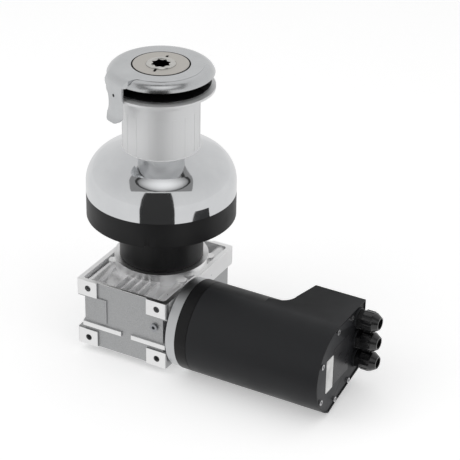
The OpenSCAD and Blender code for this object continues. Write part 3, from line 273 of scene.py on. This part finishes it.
def black_metal(name, color, roughness, grain_scale, strength):
    """Coated or anodised metal, paler along worn edges."""
    s = Shader(name, color, 0.0, roughness, Specular_IOR_Level=0.2)
    grain = s.noise(grain_scale, roughness=0.6)
    cloud = s.noise(34.0)
    s.put("Roughness", s.span(cloud, 0.3, 0.75, roughness - 0.06, roughness + 0.07))
    s.put("Normal", s.bump(grain, strength, distance=0.00008))
    lighter = tuple(c * 1.3 + 0.001 for c in color)
    worn = tuple(c * 2.2 + 0.008 for c in color)
    tone = s.tint(s.span(grain, 0.35, 0.75), color, lighter)
    s.put("Base Color", s.tint(s.edge(), tone, worn))
    return s


def cast_metal():
    """Sand-grey cast skin with bright milled faces, and a shinier recess in the top whose colour is painted
    light, near white against the bell's shade.
    """
    s = Shader("cast_metal", (0.62, 0.63, 0.64), 0.8, 0.5)
    y, z = s.axis("Y"), s.axis("Z")
    from_middle = s.maths("ABSOLUTE", s.maths("SUBTRACT", z, GEAR_Z))
    rims = s.above(from_middle, HOUSING_HALF_HEIGHT - FACE_DEPTH)
    front = s.under(y, HOUSING_FRONT + FACE_DEPTH)
    back = s.above(y, HOUSING_BACK - FACE_DEPTH)
    milled = s.maths("MAXIMUM", rims, s.maths("MAXIMUM", front, back))
    cast = s.maths("SUBTRACT", 1.0, milled)
    recess = s.both(s.above(z, GEAR_Z + RECESS_ABOVE_MIDDLE), s.above(y, HOUSING_FRONT + RIM_WALL), cast)

    blast = s.noise(950.0, roughness=0.65)
    orange_peel = s.noise(210.0, roughness=0.6)
    cloud = s.noise(45.0, detail=4.0, roughness=0.6)
    mill_marks = s.streaks((4000, 60, 60))
    rough = s.span(cloud, 0.3, 0.75, 0.4, 0.56)
    rough = s.maths("MULTIPLY_ADD", recess, -0.14, rough)
    s.put("Roughness", s.maths("MULTIPLY_ADD", milled, -0.1, rough))
    s.put("Metallic", s.maths("MULTIPLY_ADD", recess, -0.35, s.either(milled, 0.8, 1.0)))
    normal = s.bump(s.maths("MULTIPLY", blast, cast), 0.5, distance=0.0002)
    normal = s.bump(s.maths("MULTIPLY", orange_peel, cast), 0.25, distance=0.0003, normal=normal)
    normal = s.bump(s.maths("MULTIPLY", mill_marks, milled), 0.12, distance=0.00004, normal=normal)
    s.put("Normal", normal)

    skin = s.tint(s.span(cloud, 0.3, 0.75), (0.4, 0.405, 0.41), (0.48, 0.485, 0.49))
    skin = s.tint(s.span(blast, 0.4, 0.7), skin, (0.56, 0.565, 0.57))
    # Painted light: the recess is coloured near white to make up for the shade that the bell casts into it.
    skin = s.tint(recess, skin, (0.95, 0.95, 0.955))
    s.put("Base Color", s.tint(milled, skin, (0.97, 0.97, 0.97)))
    return s


def plastic(name, color, roughness, grain_scale=600.0, strength=0.15, coat=0.0, gloss=0.3):
    """Moulded plastic, rubber, ceramic or print with a fine grain."""
    s = Shader(name, color, 0.0, roughness, Coat_Weight=coat, Specular_IOR_Level=gloss)
    grain = s.noise(grain_scale, detail=2.0, roughness=0.5)
    cloud = s.noise(70.0, roughness=0.5)
    s.put("Roughness", s.span(cloud, 0.3, 0.75, roughness - 0.05, roughness + 0.08))
    s.put("Normal", s.bump(grain, strength, distance=0.00005))
    s.put("Base Color", s.tint(s.span(cloud, 0.3, 0.8), color, tuple(c * 1.4 + 0.003 for c in color)))
    return s


NEAR_BLACK = (0.004, 0.004, 0.0045)
makers = {
    "black_anodised": lambda: black_metal(
        "black_anodised", (0.004, 0.004, 0.0043), roughness=0.4, grain_scale=900.0, strength=0.12),
    "motor_paint": lambda: black_metal(
        "motor_paint", (0.0065, 0.0068, 0.0076), roughness=0.46, grain_scale=1300.0, strength=0.3),
    "end_plate_paint": lambda: black_metal(
        "end_plate_paint", (0.014, 0.0145, 0.016), roughness=0.45, grain_scale=1100.0, strength=0.25),
    "polished_drum": drum_chrome,
    "polished_cover": cover_metal,
    "brushed_cap": cap_metal,
    "bright_socket": socket_metal,
    "cast_aluminium": cast_metal,
    "stainless_fasteners": lambda: fine_metal(
        "fastener_steel", (0.6, 0.6, 0.61), roughness=0.3, spread=0.08, scratch=0.2),
    "stem_metal": lambda: fine_metal(
        "stem_metal", (0.55, 0.56, 0.58), roughness=0.35, spread=0.06, scratch=0.1, lines=(30, 30, 3000)),
    "gear_steel": lambda: fine_metal(
        "gear_steel", (0.4, 0.41, 0.43), roughness=0.34, spread=0.08, scratch=0.15),
    "ground_steel": lambda: fine_metal(
        "ground_steel", (0.62, 0.63, 0.65), roughness=0.24, spread=0.06, scratch=0.08, lines=TURNED),
    "bronze": lambda: fine_metal(
        "bronze", (0.62, 0.42, 0.2), roughness=0.32, spread=0.07, scratch=0.12),
    "machined_aluminium": lambda: fine_metal(
        "machined_aluminium", (0.66, 0.67, 0.68), roughness=0.4, spread=0.07, scratch=0.2,
        lines=(900, 900, 900)),
    "plug_steel": lambda: fine_metal(
        "plug_steel", (0.4, 0.41, 0.43), roughness=0.35, spread=0.06, scratch=0.15),
    "lamination": lambda: fine_metal(
        "lamination", (0.3, 0.2, 0.13), roughness=0.45, spread=0.08, scratch=0.3, lines=(6000, 40, 40)),
    "copper": lambda: fine_metal(
        "copper", (0.62, 0.34, 0.22), roughness=0.28, spread=0.06, scratch=0.1),
    "nickel": lambda: fine_metal(
        "nickel", (0.6, 0.58, 0.54), roughness=0.25, spread=0.05, scratch=0.08),
    "cage_plastic": lambda: plastic("cage_plastic", (0.4, 0.38, 0.33), roughness=0.5),
    "jaw_plastic": lambda: plastic(
        "jaw_plastic", NEAR_BLACK, roughness=0.45, grain_scale=800.0, strength=0.2, gloss=0.12),
    "seal_rubber": lambda: plastic(
        "seal_rubber", (0.004, 0.004, 0.004), roughness=0.6, grain_scale=900.0, strength=0.2, gloss=0.1),
    "magnet": lambda: plastic("magnet_ferrite", (0.1, 0.1, 0.11), roughness=0.55),
    "insulation": lambda: plastic("insulation", (0.07, 0.06, 0.05), roughness=0.5),
    "gland_plastic": lambda: plastic(
        "gland_plastic", NEAR_BLACK, roughness=0.2, grain_scale=300.0, strength=0.05, coat=0.5, gloss=0.5),
}

materials = {}
slot_of = {row["node"]: row["material_slot"] for row in frame["record"]["subparts"]}
for name, obj in nodes.items():
    slot = slot_of[name]
    if slot not in materials:
        materials[slot] = makers[slot]().material
    obj.data.materials.clear()
    obj.data.materials.append(materials[slot])


# Jaw spring
def jaw_spring():
    """A copy of the jaw spring, carried by the drum's body, in place of the node."""
    piece = bpy.data.objects.new("jaw_spring_coil", nodes["jaw_spring"].data.copy())
    bpy.context.scene.collection.objects.link(piece)
    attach(piece, "drum")
    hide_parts("jaw_spring")
    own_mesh(piece)


jaw_spring()

# Labels, as distances from the motor's axis
LABEL_CORNER = 0.002
LABEL_UNDERSIDE = 0.00002
LABEL_THICKNESS = 0.00025
CORNER_STEPS = 6


def label(name, across, up, material):
    """A thin blank label with round corners on the motor's end plate."""
    left, right = WORM_Y + across[0] + LABEL_CORNER, WORM_Y + across[1] - LABEL_CORNER
    low, high = GEAR_Z + up[0] + LABEL_CORNER, GEAR_Z + up[1] - LABEL_CORNER
    outline = []
    for start, y, z in ((0, right, high), (90, left, high), (180, left, low), (270, right, low)):
        for step in range(CORNER_STEPS + 1):
            a = math.radians(start + 90 * step / CORNER_STEPS)
            outline.append((y + LABEL_CORNER * math.cos(a), z + LABEL_CORNER * math.sin(a)))

    plate = MOTOR_END - PLATE_INSET
    bm = bmesh.new()
    under = [bm.verts.new((plate + LABEL_UNDERSIDE, y, z)) for y, z in outline]
    top = [bm.verts.new((plate + LABEL_THICKNESS, y, z)) for y, z in outline]
    bm.faces.new(top)
    bm.faces.new(under[::-1])
    for i in range(len(outline)):
        j = (i + 1) % len(outline)
        bm.faces.new((under[i], under[j], top[j], top[i]))
    bmesh.ops.recalc_face_normals(bm, faces=bm.faces)

    mesh = bpy.data.meshes.new(name)
    bm.to_mesh(mesh)
    bm.free()
    mesh.materials.append(material)
    piece = bpy.data.objects.new(name, mesh)
    bpy.context.scene.collection.objects.link(piece)
    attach(piece, "frame")


label_white = plastic("label_white", (0.72, 0.72, 0.71), roughness=0.38, grain_scale=500.0, strength=0.05)
label_black = plastic("label_black", (0.02, 0.02, 0.022), roughness=0.3, grain_scale=500.0, strength=0.05)
label("plate_label", (-0.031, -0.0125), (-0.022, 0.024), label_white.material)
label("plate_sticker", (-0.0115, 0.03), (-0.02, 0.031), label_black.material)

# Camera, from the fit to the photograph
IMAGE_PX = 460
FOCAL_PX = 1857.62
CENTRE_PX = (187.1, 253.62)
CAMERA_AT = (1.05332, -1.76639, 1.11595)
HEADING, ELEVATION, ROLL = (math.radians(v) for v in (29.9, 29.78, 0.28))
SENSOR_MM = 36


def camera():
    data = bpy.data.cameras.new("camera")
    data.sensor_width = SENSOR_MM
    data.lens = SENSOR_MM * FOCAL_PX / IMAGE_PX
    data.shift_x = (IMAGE_PX / 2 - CENTRE_PX[0]) / IMAGE_PX
    data.shift_y = (CENTRE_PX[1] - IMAGE_PX / 2) / IMAGE_PX
    data.clip_start, data.clip_end = 0.05, 60
    level = Vector((math.cos(HEADING), math.sin(HEADING), 0))
    outward = Vector((-math.sin(HEADING), math.cos(HEADING), 0))
    ahead = outward * math.cos(ELEVATION) - Vector((0, 0, math.sin(ELEVATION)))
    upward = level.cross(ahead)
    right = level * math.cos(ROLL) + upward * math.sin(ROLL)
    up = upward * math.cos(ROLL) - level * math.sin(ROLL)
    cam = bpy.data.objects.new("camera", data)
    bpy.context.scene.collection.objects.link(cam)
    turn = Matrix((right, up, -ahead)).transposed().to_4x4()
    cam.matrix_world = Matrix.Translation(CAMERA_AT) @ turn
    bpy.context.scene.camera = cam


camera()

# Stage
FRONT_AZIMUTH = math.radians(-59.2)
CARD_LEVEL = 0.8
DARK_LEVEL = 0.04
DIFFUSE_LEVEL = 0.5
CAMERA_LEVEL = 1.0
FLOOR_GLOW = 0.36
FLOOR_HALF = 12
LAMP_TARGET = (0.05, 0, 0)

# The room that reflections see. Directions are given as across and toward the front, per unit of height
ROOM_LEVELS = (0.76, 0.66)
PANEL_LEVEL = 0.27
PANEL_TOWARD = (-0.3, 0.8)
PANEL_HALF_WIDTH = 0.61
PANEL_TAPER = 0.6
SOFT_BOX_MIDDLE = (0.04, 0.26)
SOFT_BOX_RADII = (0.5, 0.52)
SOFT_BOX_LEVELS = (1.0, 0.22)
RING_SQUARED_R = 1.25
BOOM_LEVEL = 0.012
BOOM_ACROSS = (-0.16, 0.08)
BOOM_TOWARD = (-0.26, -0.1)
LOWEST_SKY = 0.05

# The dark gap: its sides as across per unit toward the front, and its top as up per unit toward the front
GAP_SIDES = (-0.577, 0.325)
GAP_TOP = 1.1
GAP_START_ON_FLOOR = 0.3


class Surround(Tree):
    """What reflections see: a pale room, a dark gap in front and a soft box overhead."""

    def split(self, vector):
        """Parts of a direction to the right of the front, toward it and up."""
        x, y, z = (self.axis(k, vector) for k in "XYZ")
        c, d = math.cos(FRONT_AZIMUTH), math.sin(FRONT_AZIMUTH)
        right = self.maths("ADD", self.maths("MULTIPLY", x, -d), self.maths("MULTIPLY", y, c))
        toward = self.maths("ADD", self.maths("MULTIPLY", x, c), self.maths("MULTIPLY", y, d))
        return right, toward, z

    def between(self, value, low, high):
        return self.both(self.above(value, low), self.under(value, high))

    def gap(self, right, toward, start=0.0):
        """The dark gap, a sector in front from a distance on."""
        ratio = self.maths("DIVIDE", right, toward)
        return self.both(self.above(toward, start), self.between(ratio, *GAP_SIDES))

    def overhead(self, level, right, toward, up):
        """Adds the round soft box, its frame and its boom to a level."""
        x = self.maths("DIVIDE", right, up)
        y = self.maths("DIVIDE", toward, up)
        dx = self.maths("DIVIDE", self.maths("SUBTRACT", x, SOFT_BOX_MIDDLE[0]), SOFT_BOX_RADII[0])
        dy = self.maths("DIVIDE", self.maths("SUBTRACT", y, SOFT_BOX_MIDDLE[1]), SOFT_BOX_RADII[1])
        out2 = self.maths("ADD", self.maths("MULTIPLY", dx, dx), self.maths("MULTIPLY", dy, dy))
        sky = self.above(up, LOWEST_SKY)
        half_width = self.maths("MULTIPLY_ADD", y, PANEL_TAPER, PANEL_HALF_WIDTH)
        narrow = self.under(self.maths("ABSOLUTE", x), half_width)
        panel = self.both(sky, narrow, self.between(y, *PANEL_TOWARD))
        ring = self.both(panel, self.under(out2, RING_SQUARED_R))
        disc = self.both(panel, self.under(out2, 1.0))
        boom = self.both(sky, self.between(x, *BOOM_ACROSS), self.between(y, *BOOM_TOWARD))
        level = self.either(panel, level, PANEL_LEVEL)
        level = self.either(ring, level, DARK_LEVEL)
        level = self.either(disc, level, self.span(out2, 0.0, 1.0, *SOFT_BOX_LEVELS))
        return self.either(boom, level, BOOM_LEVEL)


def floor_material():
    """Pale card with the object's shadow; reflections see an even card with the dark gap."""
    m = bpy.data.materials.new("floor_pale")
    m.use_nodes = True
    links = m.node_tree.links
    s = Surround(m.node_tree)
    base = m.node_tree.nodes["Principled BSDF"]
    base.inputs["Base Color"].default_value = (0.88, 0.88, 0.88, 1)
    base.inputs["Roughness"].default_value = 0.9
    base.inputs["Specular IOR Level"].default_value = 0.1
    path = s.node("ShaderNodeLightPath").outputs
    glow = s.node("ShaderNodeEmission", Strength=s.maths("MULTIPLY", path["Is Camera Ray"], FLOOR_GLOW))
    card = s.node("ShaderNodeAddShader", i0=base.outputs[0], i1=glow.outputs[0])
    right, toward, _ = s.split(s.place())
    dark = s.gap(right, toward, start=GAP_START_ON_FLOOR)
    even = s.node("ShaderNodeEmission", Strength=s.either(dark, CARD_LEVEL, DARK_LEVEL))
    mix = s.node("ShaderNodeMixShader", i0=path["Is Glossy Ray"], i1=card.outputs[0], i2=even.outputs[0])
    links.new(mix.outputs[0], m.node_tree.nodes["Material Output"].inputs[0])
    return m


def floor():
    low = cad_box[0][2]
    corners = [(x * FLOOR_HALF, y * FLOOR_HALF, low) for x, y in ((-1, -1), (1, -1), (1, 1), (-1, 1))]
    mesh = bpy.data.meshes.new("floor")
    mesh.from_pydata(corners, [], [(0, 1, 2, 3)])
    mesh.materials.append(floor_material())
    obj = bpy.data.objects.new("floor", mesh)
    bpy.context.scene.collection.objects.link(obj)


def studio():
    world = bpy.data.worlds.new("studio")
    bpy.context.scene.world = world
    world.use_nodes = True
    s = Surround(world.node_tree)
    back = world.node_tree.nodes["Background"]
    back.inputs["Color"].default_value = (1, 1, 1, 1)
    path = s.node("ShaderNodeLightPath").outputs
    right, toward, up = s.split(s.node("ShaderNodeTexCoord").outputs["Generated"])
    room = s.span(up, 0.0, 1.0, *ROOM_LEVELS)
    low_gap = s.both(s.gap(right, toward), s.under(s.maths("DIVIDE", up, toward), GAP_TOP))
    room = s.overhead(s.either(low_gap, room, DARK_LEVEL), right, toward, up)
    level = s.either(path["Is Glossy Ray"], DIFFUSE_LEVEL, room)
    level = s.either(path["Is Camera Ray"], level, CAMERA_LEVEL)
    world.node_tree.links.new(level, back.inputs["Strength"])


def lamp(name, at, size, power):
    """A square area lamp that faces the object and that reflections don't see."""
    data = bpy.data.lights.new(name, "AREA")
    data.size = size
    data.energy = power
    obj = bpy.data.objects.new(name, data)
    bpy.context.scene.collection.objects.link(obj)
    obj.location = at
    obj.rotation_euler = (Vector(LAMP_TARGET) - Vector(at)).to_track_quat("-Z", "Y").to_euler()
    obj.visible_glossy = False


floor()
studio()
lamp("key", at=(-1.6, -1.9, 1.9), size=2.4, power=17)
lamp("top", at=(0.2, 0.2, 2.2), size=3.0, power=13)
lamp("side", at=(2.2, -0.6, 1.0), size=2.0, power=7)
bpy.context.scene.view_settings.view_transform = "Standard"
